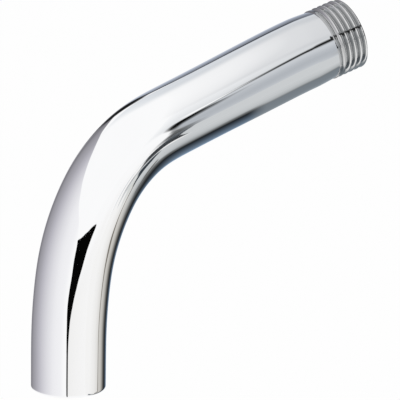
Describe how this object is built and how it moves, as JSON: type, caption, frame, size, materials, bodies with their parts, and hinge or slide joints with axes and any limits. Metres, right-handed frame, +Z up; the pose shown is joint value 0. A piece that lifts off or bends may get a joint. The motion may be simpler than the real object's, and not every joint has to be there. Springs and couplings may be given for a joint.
{
  "type": "bath spout",
  "caption": "Bent tubular bath spout with a square-cut open outlet and a half-inch male pipe thread at its inlet.",
  "frame": {"origin": "centre of the shoulder where the inlet thread starts, on the tube's axis", "axes": "+Z up with the outlet pointing straight down, +Y back along the arm towards the tap body or wall, +X to the spout's side"},
  "size_m": [0.0212, 0.1016, 0.1053],
  "materials": {
    "chrome_plate": "bright chrome plate on a polished brass tube, with a little draw polish along the tube"
  },
  "bodies": {
    "root": {"spout_tube": "chrome_plate"}
  },
  "joints": []
}
